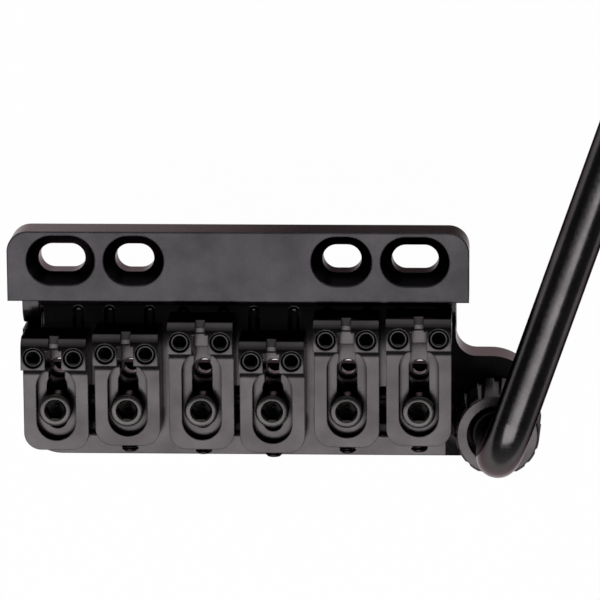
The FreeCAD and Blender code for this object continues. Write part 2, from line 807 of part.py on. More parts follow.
def make_clamp_screws():
    """Socket cap screws through the saddles' slots into the base."""
    screws = new_body("clamp_screws")
    seat = "ledge_rise + press_gap"
    for string in STRINGS:
        profile = sketch_on(screws, "XZ_Plane", across=string_place(string))
        polygon(profile, [
            ("0", f"{seat} + clamp_head_height"),
            ("clamp_head_radius", f"{seat} + clamp_head_height"),
            ("clamp_head_radius", seat),
            ("clamp_shank_radius", seat),
            ("clamp_shank_radius", "side_gap - base_thickness"),
            ("0", "side_gap - base_thickness"),
        ])
        revolve(screws, profile)
    keys = sketch_on(screws, "XY_Plane", f"{seat} + clamp_head_height")
    for string in STRINGS:
        hexagon(keys, string_place(string), "0", "clamp_socket")
    pocket(screws, keys, "socket_depth")
    place(screws, "0", "-clamp_back", "base_top")
    return screws


# Tension bolts and springs

def make_tension_bolts():
    """Cap bolts sunk in the base, each drawing its spring up under the frame's shelf."""
    bolts = new_body("tension_bolts")
    profile = sketch_on(bolts, "XZ_Plane")
    polygon(profile, [
        ("0", "bolt_head_height"),
        ("bolt_head_radius", "bolt_head_height"),
        ("bolt_head_radius", "0"),
        ("bolt_radius", "0"),
        ("bolt_radius", "-bolt_length"),
        ("0", "-bolt_length"),
    ])
    shank = revolve(bolts, profile)
    key = sketch_on(bolts, "XY_Plane", "bolt_head_height")
    hexagon(key, "0", "0", "bolt_socket")
    socket = pocket(bolts, key, "socket_depth")
    row_of(bolts, [shank, socket], "bolt_spacing", 3)
    place(bolts, "-bolt_spacing", "-bolt_back", "bolt_seat")
    return bolts


def make_spring_cups():
    """Washers with a step that centres the springs on their bolts."""
    cups = new_body("spring_cups")
    step = "spring_radius - spring_wire / 2 - thread_gap * 2"
    bore = "bolt_radius + thread_gap"
    profile = sketch_on(cups, "XZ_Plane")
    polygon(profile, [
        (bore, "cup_height / 3"),
        (step, "cup_height / 3"),
        (step, "0"),
        ("cup_radius", "0"),
        ("cup_radius", "-cup_height"),
        (bore, "-cup_height"),
    ])
    row_of(cups, [revolve(cups, profile)], "bolt_spacing", 3)
    place(cups, "-bolt_spacing", "-bolt_back", "cup_top")
    return cups


def make_spring_nuts():
    nuts = new_body("spring_nuts")
    outline = sketch_on(nuts, "XY_Plane")
    hexagon(outline, "0", "0", "spring_nut_width")
    circle(outline, "0", "0", "bolt_radius + thread_gap")
    row_of(nuts, [pad(nuts, outline, "spring_nut_height", reverse=True)], "bolt_spacing", 3)
    place(nuts, "-bolt_spacing", "-bolt_back", "cup_top - cup_height")
    return nuts


def biarc(start, leaving, end, arriving):
    """Two tangent arcs from one point and direction to another."""
    span = end - start
    bend = 2 * (1 - leaving.dot(arriving))
    along = span.dot(leaving + arriving)
    reach = (math.sqrt(along ** 2 + bend * span.dot(span)) - along) / bend
    first_knee, last_knee = start + leaving * reach, end - arriving * reach
    middle = (first_knee + last_knee) / 2
    return [arc_by_knee(start, first_knee, middle), arc_by_knee(middle, last_knee, end)]


def arc_by_knee(start, knee, end):
    """The arc between two points whose tangents there meet at the knee."""
    chord_middle = (start + end) / 2
    half_chord, height = (end - start).Length / 2, (knee - chord_middle).Length
    rise = half_chord / height * (math.hypot(half_chord, height) - half_chord)
    return Part.Arc(start, chord_middle + (knee - chord_middle) / height * rise, end).toShape()


def make_tension_springs():
    """Three compression springs, each one tube along quarter turns of a helix."""
    radius, wire = number("spring_radius"), number("spring_wire")
    turns = number("spring_turns")
    seat_gap = number("press_gap")
    height = number("spring_length") - wire - 2 * seat_gap
    lead = height / turns

    def at(turn):
        angle = 2 * math.pi * turn
        return Vector(radius * math.cos(angle), radius * math.sin(angle), lead * turn)

    def heading(turn):
        angle = 2 * math.pi * turn
        way = Vector(-radius * math.sin(angle), radius * math.cos(angle), lead / (2 * math.pi))
        return way.normalize()

    quarters = round(4 * turns)
    stops = [turns * k / quarters for k in range(quarters + 1)]
    arcs = []
    for here, there in zip(stops, stops[1:]):
        arcs += biarc(at(here), heading(here), at(there), heading(there))
    section = Part.Wire(Part.Circle(at(0), heading(0), wire / 2).toShape())
    spring = Part.Wire(arcs).makePipeShell([section], True, False)

    samples = [at(turns * k / 400) for k in range(401)]
    apart = int(400 / turns / 2)
    least = min(a.distanceToPoint(b) for k, a in enumerate(samples) for b in samples[k + apart:])
    print(f"least gap between the turns of a tension spring: {least - wire:.2f} mm")

    springs = doc.addObject("Part::Feature", "tension_springs")
    copies = []
    for x in BOLT_PLACES:
        copy = spring.copy()
        copy.translate(Vector(number(x), 0, wire / 2 + seat_gap))
        copies.append(copy)
    springs.Shape = Part.makeCompound(copies)
    springs.Placement = Placement(Vector(0, -number("bolt_back"), number("cup_top")), Rotation())
    return springs


# Arm holder and arm

def make_arm_socket():
    """A sleeve with a shoulder on the ear, threaded for the collar above and the nut below."""
    socket = new_body("arm_socket")
    bore = "arm_bush_radius + press_gap"
    stem_end = "-(base_thickness + socket_below)"
    profile = sketch_on(socket, "XZ_Plane")
    polygon(profile, [
        ("0", stem_end),
        ("socket_stem_radius", stem_end),
        ("socket_stem_radius", "0"),
        ("socket_neck_radius", "0"),
        ("socket_neck_radius", "socket_neck_height"),
        (bore, "socket_neck_height"),
        (bore, f"{stem_end} + socket_floor"),
        ("0", f"{stem_end} + socket_floor"),
    ])
    revolve(socket, profile)
    place(socket, "holder_place", "-holder_back", "base_top")
    return socket


def make_socket_nut():
    nut = new_body("socket_nut")
    outline = sketch_on(nut, "XY_Plane")
    hexagon(outline, "0", "0", "socket_nut_width", first=30)
    circle(outline, "0", "0", "socket_stem_radius + press_gap")
    pad(nut, outline, "socket_nut_height", reverse=True)
    place(nut, "holder_place", "-holder_back", "base_top - base_thickness")
    return nut


def make_arm_bush():
    """The plain bush that grips the arm."""
    bush = new_body("arm_bush")
    low = "socket_floor - base_thickness - socket_below"
    high = "socket_neck_height + arm_bush_proud"
    profile = sketch_on(bush, "XZ_Plane")
    rectangle(profile, "arm_radius + running_gap", low, "arm_bush_radius", high)
    revolve(bush, profile)
    place(bush, "holder_place", "-holder_back", "base_top")
    return bush


def make_arm_collar():
    """A fluted nut, narrower at its top, that closes the holder on the arm's bush."""
    collar = new_body("arm_collar")
    thread = "socket_neck_radius + thread_gap"
    lip = "collar_height - collar_lip"
    profile = sketch_on(collar, "XZ_Plane")
    polygon(profile, [
        (thread, "0"),
        ("collar_radius", "0"),
        ("collar_neck", "collar_height - collar_chamfer"),
        ("collar_neck - collar_chamfer", "collar_height"),
        ("collar_hole_radius", "collar_height"),
        ("collar_hole_radius", lip),
        (thread, lip),
    ])
    revolve(collar, profile)
    flute = sketch_on(collar, "XY_Plane", "collar_height")
    circle(flute, "collar_neck + flute_radius - flute_depth", "0", "flute_radius")
    cut = pocket(collar, flute)
    ring = collar.newObject("PartDesign::PolarPattern", "flutes")
    ring.Originals = [cut]
    ring.Axis = (origin_feature(collar, "Z_Axis"), [""])
    ring.Angle = 360
    bind(ring, Occurrences="flute_count")
    collar.Tip = ring
    doc.recompute()
    place(collar, "holder_place", "-holder_back", "base_top + side_gap / 2")
    return collar


def make_tremolo_arm():
    """A round rod that stands in the bush and bends over into a level handle."""
    arm = new_body("tremolo_arm")
    foot = "socket_floor + arm_seat - base_thickness - socket_below"
    bend_start = "arm_rise - arm_bend"
    section = sketch_on(arm, "XY_Plane", foot)
    circle(section, "0", "0", "arm_radius")
    path = sketch_on(arm, "YZ_Plane")
    upright = path.addGeometry(Part.LineSegment(spot("0", foot), spot("0", bend_start)), False)
    full = Part.Circle(spot("arm_bend", bend_start), Vector(0, 0, 1), number("arm_bend"))
    elbow = path.addGeometry(Part.ArcOfCircle(full, math.pi / 2, math.pi), False)
    level = Part.LineSegment(spot("arm_bend", "arm_rise"), spot("arm_run", "arm_rise"))
    handle = path.addGeometry(level, False)
    join(path, upright, 2, elbow, 2)
    join(path, elbow, 1, handle, 1)
    fix_point(path, upright, 1, "0", foot)
    fix_point(path, upright, 2, "0", bend_start)
    fix_point(path, handle, 1, "arm_bend", "arm_rise")
    fix_point(path, handle, 2, "arm_run", "arm_rise")
    fix(path, "DistanceX", -1, 1, elbow, 3, text="arm_bend")
    rod = arm.newObject("PartDesign::AdditivePipe", "rod")
    rod.Profile = section
    rod.Spine = (path, ["Edge1", "Edge2", "Edge3"])
    doc.recompute()
    fillet(arm, [("0", "arm_run", "arm_rise + arm_radius")], "arm_end_round")
    arm.Placement = Placement(Vector(), Rotation(Vector(0, 0, -1), number("arm_angle")))
    bind(arm, Placement__Rotation__Angle="arm_angle")
    place(arm, "holder_place", "-holder_back", "base_top")
    return arm


pieces = [
    make_mounting_bar(),
    make_pivot_frame(),
    make_frame_screws(),
    make_pivot_shaft(),
    make_bearing_bushes(),
    make_base_plate(),
    make_clamp_screws(),
    make_tension_bolts(),
    make_spring_cups(),
    make_spring_nuts(),
    make_tension_springs(),
    make_arm_socket(),
    make_socket_nut(),
    make_arm_bush(),
    make_arm_collar(),
    make_tremolo_arm(),
]
for string in STRINGS:
    pieces += [make_saddle(string), make_height_screws(string), make_intonation_screw(string)]
doc.recompute()

for thing in doc.Objects:
    if {"Invalid", "Error"} & set(thing.State):
        raise ValueError(f"{thing.Label} failed: {thing.State}")
for piece in pieces:
    if piece.Shape.isNull() or not piece.Shape.isValid():
        raise ValueError(f"{piece.Label} has no valid shape")
os.makedirs("parts", exist_ok=True)
for piece in pieces:
    piece.Shape.exportStep(f"parts/{piece.Label}.step")
print(f"{len(pieces)} pieces, {sum(len(piece.Shape.Solids) for piece in pieces)} solids")
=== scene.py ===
import json
import math

import bmesh
import bpy
from mathutils import Matrix, Vector

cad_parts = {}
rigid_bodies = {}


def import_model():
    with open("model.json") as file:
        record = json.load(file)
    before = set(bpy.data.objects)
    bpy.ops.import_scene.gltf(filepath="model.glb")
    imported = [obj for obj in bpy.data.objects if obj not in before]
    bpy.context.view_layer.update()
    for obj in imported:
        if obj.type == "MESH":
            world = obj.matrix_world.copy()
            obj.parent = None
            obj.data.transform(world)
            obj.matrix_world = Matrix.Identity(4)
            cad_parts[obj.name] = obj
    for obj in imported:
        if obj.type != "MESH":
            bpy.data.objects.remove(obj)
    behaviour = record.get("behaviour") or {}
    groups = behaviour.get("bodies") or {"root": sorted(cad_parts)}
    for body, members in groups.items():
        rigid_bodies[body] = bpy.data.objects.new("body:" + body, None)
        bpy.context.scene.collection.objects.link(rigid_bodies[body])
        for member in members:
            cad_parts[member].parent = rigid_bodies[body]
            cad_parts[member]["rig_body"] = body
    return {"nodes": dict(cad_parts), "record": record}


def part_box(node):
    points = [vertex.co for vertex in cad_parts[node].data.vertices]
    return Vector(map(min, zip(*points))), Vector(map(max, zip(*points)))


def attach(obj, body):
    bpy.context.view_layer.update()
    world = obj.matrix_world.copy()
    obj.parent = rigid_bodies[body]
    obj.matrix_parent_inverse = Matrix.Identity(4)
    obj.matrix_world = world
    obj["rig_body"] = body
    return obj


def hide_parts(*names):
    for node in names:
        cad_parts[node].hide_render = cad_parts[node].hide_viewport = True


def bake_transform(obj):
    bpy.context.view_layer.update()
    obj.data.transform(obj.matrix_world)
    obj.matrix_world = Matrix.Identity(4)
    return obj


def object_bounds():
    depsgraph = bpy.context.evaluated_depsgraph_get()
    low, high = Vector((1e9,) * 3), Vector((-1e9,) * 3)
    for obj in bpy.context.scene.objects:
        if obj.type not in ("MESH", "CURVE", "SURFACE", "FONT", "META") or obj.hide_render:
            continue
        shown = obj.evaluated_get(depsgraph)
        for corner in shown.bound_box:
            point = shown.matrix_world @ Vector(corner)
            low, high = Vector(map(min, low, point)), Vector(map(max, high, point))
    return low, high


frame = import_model()
cad_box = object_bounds()
scene = bpy.context.scene
nodes = frame["nodes"]
slots = {part["node"]: part["material_slot"] for part in frame["record"]["subparts"]}

MM = 0.001
STRINGS = range(1, 7)


def slope(degrees):
    return math.tan(math.radians(degrees))


# Shader nodes

NOISE_LOW, NOISE_HIGH = 0.3, 0.7
NOISE_ROUGHNESS = 0.55
CLOUD_DETAIL = 3.0
GRAIN_DETAIL = 2.0
BEVEL_SAMPLES = 6
EDGE_LEAN, FLAT_LEAN = 0.75, 0.97
LEVEL_FACE = 0.9
UPRIGHT_FACE = 0.5


def new_material(name):
    material = bpy.data.materials.new(name)
    material.use_nodes = True
    material.node_tree.nodes.clear()
    return material


def connect(owner, socket, value):
    """Links another node's output to a socket, or sets the socket to a plain value."""
    if isinstance(value, bpy.types.NodeSocket):
        owner.node_tree.links.new(value, socket)
    else:
        socket.default_value = value


def add_node(owner, kind, **inputs):
    """A node whose named inputs are linked or set."""
    node = owner.node_tree.nodes.new(kind)
    for title, value in inputs.items():
        connect(owner, node.inputs[title.replace("_", " ")], value)
    return node


def noise(material, size, detail=CLOUD_DETAIL, stretch=(1, 1, 1)):
    """Noise whose features are about the given size, in metres, on the piece's own coordinates."""
    place = add_node(material, "ShaderNodeTexCoord").outputs["Object"]
    mapping = add_node(material, "ShaderNodeMapping", Vector=place, Scale=stretch)
    texture = add_node(material, "ShaderNodeTexNoise", Vector=mapping.outputs["Vector"],
                       Scale=1 / size, Detail=detail, Roughness=NOISE_ROUGHNESS)
    return texture.outputs["Fac"]


def spread(owner, factor, low, high, start=NOISE_LOW, stop=NOISE_HIGH):
    """Stretches a factor from one range of values to another."""
    node = add_node(owner, "ShaderNodeMapRange", Value=factor, From_Min=start, From_Max=stop,
                    To_Min=low, To_Max=high)
    return node.outputs["Result"]


def blend_colours(material, factor, one, other):
    node = add_node(material, "ShaderNodeMix")
    node.data_type = "RGBA"
    connect(material, node.inputs["Factor"], factor)
    for title, value in (("A", one), ("B", other)):
        socket = [s for s in node.inputs if s.name == title and s.type == "RGBA"][0]
        connect(material, socket, value)
    return [s for s in node.outputs if s.type == "RGBA"][0]


def math_node(owner, operation, *values):
    node = owner.node_tree.nodes.new("ShaderNodeMath")
    node.operation = operation
    for socket, value in zip(node.inputs, values):
        connect(owner, socket, value)
    return node.outputs["Value"]


def rounded_normal(material, width):
    """The surface's normal, turned along edges as if they were rounded."""
    bevel = add_node(material, "ShaderNodeBevel", Radius=width)
    bevel.samples = BEVEL_SAMPLES
    return bevel.outputs["Normal"]


def edge_factor(material, width):
    """One along sharp edges and zero on flat faces, from how far a rounded normal leans."""
    flat = add_node(material, "ShaderNodeNewGeometry").outputs["Normal"]
    lean = material.node_tree.nodes.new("ShaderNodeVectorMath")
    lean.operation = "DOT_PRODUCT"
    connect(material, lean.inputs[0], rounded_normal(material, width))
    connect(material, lean.inputs[1], flat)
    return spread(material, lean.outputs["Value"], 1.0, 0.0, EDGE_LEAN, FLAT_LEAN)


def shade(value, tint=(1.0, 1.0, 1.0)):
    return (value * tint[0], value * tint[1], value * tint[2], 1.0)


def along(material, axis, start, stop, first, last):
    """A value that runs evenly from one place to another along an axis of the piece."""
    place = add_node(material, "ShaderNodeTexCoord").outputs["Object"]
    reach = add_node(material, "ShaderNodeSeparateXYZ", Vector=place).outputs[axis]
    return spread(material, reach, first, last, start, stop)


def facing_up(material):
    """One on level faces that look up, zero on upright ones."""
    normal = add_node(material, "ShaderNodeNewGeometry").outputs["Normal"]
    return add_node(material, "ShaderNodeSeparateXYZ", Vector=normal).outputs["Z"]


def lap(material, axis, start, stop, first_slope, last_slope, facing="up"):
    """Heights, in metres, of faces whose slope along an axis changes evenly between two places."""
    share = along(material, axis, start, stop, 0.0, 1.0)
    length = stop - start
    climb = math_node(material, "MULTIPLY", share, first_slope * length)
    change = math_node(material, "POWER", share, 2.0)
    change = math_node(material, "MULTIPLY", change, (last_slope - first_slope) * length / 2)
    height = math_node(material, "ADD", climb, change)
    up = facing_up(material)
    if facing == "up":
        chosen = math_node(material, "GREATER_THAN", up, LEVEL_FACE)
    else:
        chosen = math_node(material, "LESS_THAN", math_node(material, "ABSOLUTE", up), UPRIGHT_FACE)
    return math_node(material, "MULTIPLY", height, chosen)


# Metal finishes, with painted shade in corners and on the reflections of upright faces

CLOUD_SIZE = 6 * MM
CLOUD_DARK, CLOUD_LIGHT = 0.8, 1.2
SCUFF_SIZE = 1.5 * MM
LEAST_WEAR = 0.3
# Painted shade in corners and recesses: ambient occlusion samples, the range it is spread over, and
# the darkest share of the colour
CORNER_SAMPLES = 8
CORNER_SHUT, CORNER_OPEN = 0.45, 0.9
PAINTED_SHADE_TONE = 0.12
ROUGHNESS_RANGE = 0.05
GRAIN_HEIGHT = 0.02 * MM
SCUFFED_METALLIC = 0.4
# Painted shade on the reflections of upright faces: where faces start and finish looking up enough
# to keep plain glare, and the warm tint painted into those reflections
GLARE_START, GLARE_FULL = 0.8, 0.97
PAINTED_REFLECTION_TINT = (1.0, 0.88, 0.9)


def colour_with_painted_shade(material, colour, worn, scuffed, painted_shade_reach):
    """Cloudy colour, rubbed brighter along edges, with painted shade darkening corners and
    recesses.
    """
    cloud = spread(material, noise(material, CLOUD_SIZE), 0.0, 1.0)
    body = blend_colours(material, cloud, shade(CLOUD_DARK, colour), shade(CLOUD_LIGHT, colour))
    body = blend_colours(material, scuffed, body, shade(1.0, worn))
    # Painted shade: ambient occlusion darkens the colour in corners and recesses
    corners = add_node(material, "ShaderNodeAmbientOcclusion", Distance=painted_shade_reach)
    corners.samples = CORNER_SAMPLES
    clear = spread(material, corners.outputs["AO"], 0.0, 1.0, CORNER_SHUT, CORNER_OPEN)
    return blend_colours(material, clear, shade(PAINTED_SHADE_TONE, colour), body)


def painted_slant_glare(material, painted_glare_share):
    """Painted shade on what a face mirrors at a slant: plain on level faces, dimmed by the rim on
    others.
    """
    if isinstance(painted_glare_share, tuple):
        share = along(material, *painted_glare_share)
        upright = blend_colours(material, share, shade(0.0), shade(1.0, PAINTED_REFLECTION_TINT))
    else:
        upright = shade(painted_glare_share, PAINTED_REFLECTION_TINT)
    upward = spread(material, facing_up(material), 0.0, 1.0, GLARE_START, GLARE_FULL)
    return blend_colours(material, upward, upright, shade(1.0))


def metal(name, colour, worn, roughness, edge=0.25 * MM, painted_glare_share=1.0, grain=0.18 * MM,
          grain_depth=0.05, stretch=(1, 1, 1), wear=0.6, laps=(), painted_shade_reach=0.8 * MM):
    """A finished metal surface with cloudy colour, fine grain, and soft edges that are rubbed.

    The rim is the share of a plain mirror's glare that upright faces keep where they are seen at a
    slant; the rest is painted shade on their reflections. It is a value, or what runs from one
    value to another along the piece. The laps are slopes that only the shading shows. Recesses up
    to the given width get painted shade.
    """
    material = new_material(name)
    fine = noise(material, grain, GRAIN_DETAIL, stretch)
    rubbing = spread(material, noise(material, SCUFF_SIZE), wear * LEAST_WEAR, wear)
    scuffed = math_node(material, "MULTIPLY", edge_factor(material, edge), rubbing)
    normal = rounded_normal(material, edge)
    for faces in laps:
        normal = add_node(material, "ShaderNodeBump", Strength=1.0, Distance=1.0,
                          Height=lap(material, *faces), Normal=normal).outputs["Normal"]
    bump = add_node(material, "ShaderNodeBump", Strength=grain_depth, Distance=GRAIN_HEIGHT,
                    Height=fine, Normal=normal)
    shader = add_node(
        material, "ShaderNodeBsdfPrincipled",
        Base_Color=colour_with_painted_shade(material, colour, worn, scuffed, painted_shade_reach),
        Metallic=spread(material, scuffed, 1.0, SCUFFED_METALLIC, 0.0, 1.0),
        Roughness=spread(material, fine, roughness - ROUGHNESS_RANGE, roughness + ROUGHNESS_RANGE),
        Specular_Tint=painted_slant_glare(material, painted_glare_share),
        Normal=bump.outputs["Normal"])
    add_node(material, "ShaderNodeOutputMaterial", Surface=shader.outputs["BSDF"])
    return material


COOL_BLACK = (0.034, 0.0315, 0.0345)
WARM_BLACK = (0.048, 0.0438, 0.0453)
DARK_OXIDE = (0.03, 0.029, 0.03)
RUBBED = (0.16, 0.15, 0.147)
ARM_BLACK = (0.078, 0.073, 0.074)
ARM_RUBBED = (0.1, 0.1, 0.1)
CLAMP_BLACK = (0.065, 0.061, 0.06)
CLAMP_RUBBED = (0.24, 0.22, 0.21)
PLASTIC = (0.015, 0.015, 0.016)
PLASTIC_RUBBED = (0.03, 0.03, 0.03)
STEEL = (0.52, 0.52, 0.53)
STEEL_RUBBED = (0.7, 0.7, 0.7)
SPRING_WIRE = (0.42, 0.42, 0.44)
SPRING_RUBBED = (0.6, 0.6, 0.6)
ZINC = (0.5, 0.5, 0.5)
ZINC_RUBBED = (0.68, 0.68, 0.68)
BRONZE = (0.04, 0.03, 0.022)
BRONZE_RUBBED = (0.08, 0.06, 0.045)

# Slopes that only the shading shows: axis, start, stop, first slope, last slope, faces
BARREL_TOP = ("Y", -14.5 * MM, -3 * MM, 0.0, -slope(24))
EAR_TOP = ("X", 30 * MM, 50 * MM, -slope(14), -slope(16))
FLUTES = ("Z", 4 * MM, 16 * MM, -slope(30), -slope(30), "side")

# Painted shade on upright faces' reflections that changes along a piece: axis, start, stop, first
# share, last share
# The bar's upright faces are painted darker towards +X, and the arm's away from its elbow
BAR_PAINTED_GLARE = ("X", -33 * MM, 10 * MM, 0.58, 0.25)
ARM_PAINTED_GLARE = ("Y", -30 * MM, -18 * MM, 1.0, 0.2)

# Where a saddle's pads and neck lie behind its front, and how they slope
PAD_REAR = 4.6 * MM
PAD_FRONT = 1.6 * MM
PAD_REAR_LIFT = slope(6)
PAD_FRONT_FALL = slope(4)
NECK_END = PAD_REAR + 2.0 * MM
NECK_START = PAD_REAR + 0.5 * MM
NECK_CLIMB = slope(30)

# Each rim is the share of plain glare kept on upright faces; the rest is painted shade on their
# reflections
finishes = {
    "bar_black": metal("bar_satin", COOL_BLACK, RUBBED, roughness=0.22, edge=0.35 * MM,
                       painted_glare_share=BAR_PAINTED_GLARE, wear=0.35),
    "frame_black": metal("frame_satin", COOL_BLACK, RUBBED, roughness=0.24, painted_glare_share=0.35),
    "base_black": metal("base_satin", WARM_BLACK, RUBBED, roughness=0.2, painted_glare_share=0.5,
                        laps=(BARREL_TOP, EAR_TOP)),
    "collar_black": metal("collar_satin", WARM_BLACK, RUBBED, roughness=0.22, edge=0.2 * MM,
                          painted_glare_share=0.8, laps=(FLUTES,)),
    "arm_black": metal("arm_gloss", ARM_BLACK, ARM_RUBBED, roughness=0.22, grain=0.4 * MM,
                       grain_depth=0.02, painted_glare_share=ARM_PAINTED_GLARE, wear=0.2),
    # Recess widths of 2 to 2.5 mm paint shade deep into the screws' sockets
    "screw_black": metal("screw_oxide", DARK_OXIDE, RUBBED, roughness=0.24, edge=0.1 * MM,
                         painted_glare_share=0.4, painted_shade_reach=2 * MM),
    "clamp_black": metal("clamp_worn", CLAMP_BLACK, CLAMP_RUBBED, roughness=0.28,
                         edge=0.2 * MM, painted_glare_share=0.5, painted_shade_reach=2.5 * MM),
    "bolt_black": metal("bolt_oxide", DARK_OXIDE, RUBBED, roughness=0.26, edge=0.15 * MM,
                        painted_glare_share=0.4, painted_shade_reach=2.5 * MM),
    "bush_plastic": metal("bush_plastic", PLASTIC, PLASTIC_RUBBED, roughness=0.5, painted_glare_share=0.4,
                          wear=0.2),
    "bright_steel": metal("ground_steel", STEEL, STEEL_RUBBED, roughness=0.24,
                          stretch=(0.06, 1, 1)),
    "spring_steel": metal("spring_wire", SPRING_WIRE, SPRING_RUBBED, roughness=0.3),
    "zinc": metal("zinc_plate", ZINC, ZINC_RUBBED, roughness=0.36),
    "bronze": metal("oiled_bronze", BRONZE, BRONZE_RUBBED, roughness=0.42, grain=0.1 * MM,
                    grain_depth=0.2, painted_glare_share=0.5),
}


def saddle_finish(string):
    """A saddle's own finish: its pads are lapped round, and its neck is hollowed."""
    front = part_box(f"saddle_{string}")[1].y
    pads = ("Y", front - PAD_REAR, front - PAD_FRONT, PAD_REAR_LIFT, -PAD_FRONT_FALL)
    neck = ("Y", front - NECK_END, front - NECK_START, 0.0, NECK_CLIMB)
    return metal(f"saddle_satin_{string}", WARM_BLACK, RUBBED, roughness=0.2, edge=0.2 * MM,
                 painted_glare_share=0.3, laps=(pads, neck))


saddle_finishes = {f"saddle_{string}": saddle_finish(string) for string in STRINGS}
for node, thing in nodes.items():
    finish = saddle_finishes[node] if node in saddle_finishes else finishes[slots[node]]
    thing.data.materials.clear()
    thing.data.materials.append(finish)


# Pieces made here, in place of plain solids

WELD = 0.0005 * MM
SHARP_ANGLE = math.radians(35)


def mesh_piece(name, node, shape):
    """A new piece from a bmesh that stands in for a CAD node and takes its finish."""
    mesh = bpy.data.meshes.new(name)
    bmesh.ops.remove_doubles(shape, verts=shape.verts, dist=WELD)
    bmesh.ops.recalc_face_normals(shape, faces=shape.faces)
    shape.to_mesh(mesh)
    shape.free()
    piece = bpy.data.objects.new(name, mesh)
    scene.collection.objects.link(piece)
    mesh.materials.append(finishes[slots[node]])
    mesh.shade_smooth()
    mesh.set_sharp_from_angle(angle=SHARP_ANGLE)
    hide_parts(node)
    return piece


def middle_of(node):
    low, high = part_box(node)
    return (low + high) / 2


def bridge(shape, here, there, closed=True):
    """Faces between two rows of points, which close on themselves or have an end."""
    count = len(here)
    for k in range(count if closed else count - 1):
        near = (k + 1) % count
        shape.faces.new((here[k], here[near], there[near], there[k]))


# Screws and nuts, with the threads, sockets and chamfers that the solids leave out

AROUND = 36
TURN = 2 * math.pi
SIXTH = math.pi / 3

# How far up a pitch each of a thread's points lies, and whether it is on the crest
THREAD_STEPS = ((0.0, False), (0.25, False), (0.6, True), (0.78, True))
THREAD_DEPTH = 0.55
SPARE_PITCHES = 3

# A socket's drilled floor, as shares of its width, and its mouth's depth by how far it opens
DRILL_POINT = 0.25
DRILL_TIP = 0.05
DRILL_RADIUS = 0.46
MOUTH_DEPTH = 0.7

# A head's edge and the start of its grip, as shares of its bevel, and how deep the grip is cut
EDGE_TURN = 0.4
COLLAR_END = 1.5
GRIP_START = 1.6
KNURL_DEPTH = 0.08 * MM

# A nut's turned faces, as a share of its width, the slope of its corners and its bore's bevel
NUT_FACE = 0.97
NUT_TURN = 0.45
NUT_LIP = 0.3 * MM


def hexagon(across):
    """How far out a hexagon reaches at an angle, by its width across flats."""
    return lambda angle: across / 2 / math.cos(angle % SIXTH - SIXTH / 2)


def knurl(radius, depth):
    """A fluted edge, in and out by turns."""
    return lambda angle: radius - depth * (round(angle * AROUND / TURN) % 2)


def at(base, height, angle, reach):
    return base @ Vector((reach * math.cos(angle), reach * math.sin(angle), height))


def loop(shape, base, height, radius):
    """A closed loop of points about a frame's own Z axis."""
    angles = [TURN * k / AROUND for k in range(AROUND)]
    reaches = [radius(angle) if callable(radius) else radius for angle in angles]
    return [shape.verts.new(at(base, height, *spot)) for spot in zip(angles, reaches)]


def skin(shape, base, steps, first=True, last=True):
    """A surface through loops given as heights and radii, its ends closed or left open."""
    loops = [loop(shape, base, *step) for step in steps]
    for here, there in zip(loops, loops[1:]):
        bridge(shape, here, there)
    for wanted, end in ((first, loops[0]), (last, loops[-1])):
        if wanted:
            shape.faces.new(end)


def thread(shape, base, low, high, radius, root, pitch):
    """A helical thread that runs out to its root at both heights."""
    count = len(THREAD_STEPS)
    rows = []
    for row in range(count * (math.ceil((high - low) / pitch) + SPARE_PITCHES)):
        share, crest = THREAD_STEPS[row % count]
        points = []
        for k in range(AROUND):
            height = low + (row // count - 1 + share + k / AROUND) * pitch
            reach = radius if crest and low < height < high else root
            height = min(max(height, low), high)
            points.append(shape.verts.new(at(base, height, TURN * k / AROUND, reach)))
        rows.append(points)
    for row in range(len(rows) - count - 1):
        here = rows[row] + [rows[row + count][0]]
        there = rows[row + 1] + [rows[row + count + 1][0]]
        bridge(shape, here, there, closed=False)


def screw(shape, base, head, low, high, radius, pitch, tip, tip_radius):
    """A screw from its head's loops, its thread between two heights and a bare tip."""
    root = radius - THREAD_DEPTH * pitch
    skin(shape, base, [*head, (high, root)], last=False)
    thread(shape, base, low, high, radius, root, pitch)
    skin(shape, base, [(low, root), (tip, tip_radius)], first=False)


def socket(top, across, mouth, depth):
    """A hexagon socket with a drilled floor and a countersunk mouth."""
    return [
        (top - depth - DRILL_POINT * across, DRILL_TIP * across),
        (top - depth, DRILL_RADIUS * across),
        (top - depth, hexagon(across)),
        (top - MOUTH_DEPTH * (mouth - across / 2), hexagon(across)),
        (top, mouth),
    ]


def grub_head(top, radius, across, mouth, depth, bevel):
    return [
        *socket(top, across, mouth, depth),
        (top, radius - bevel),
        (top - bevel, radius),
        (top - bevel * COLLAR_END, radius),
    ]


def cap_head(top, radius, height, across, mouth, depth, bevel):
    grip = knurl(radius, KNURL_DEPTH)
    return [
        *socket(top, across, mouth, depth),
        (top, radius - bevel),
        (top - bevel * EDGE_TURN, radius - bevel * EDGE_TURN),
        (top - bevel, radius),
        (top - bevel * COLLAR_END, radius),
        (top - bevel * GRIP_START, grip),
        (top - height + bevel, grip),
        (top - height, radius - bevel),
    ]


def upright(x, y):
    return Matrix.Translation((x, y, 0))


def lying(place, axis):
    """A frame at a place whose Z axis points along the given one."""
    turned = Vector(axis).to_track_quat("Z", "Y").to_matrix().to_4x4()
    return Matrix.Translation(place) @ turned


def screw_piece(name, node, shape):
    piece = mesh_piece(name, node, shape)
    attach(piece, nodes[node]["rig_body"])


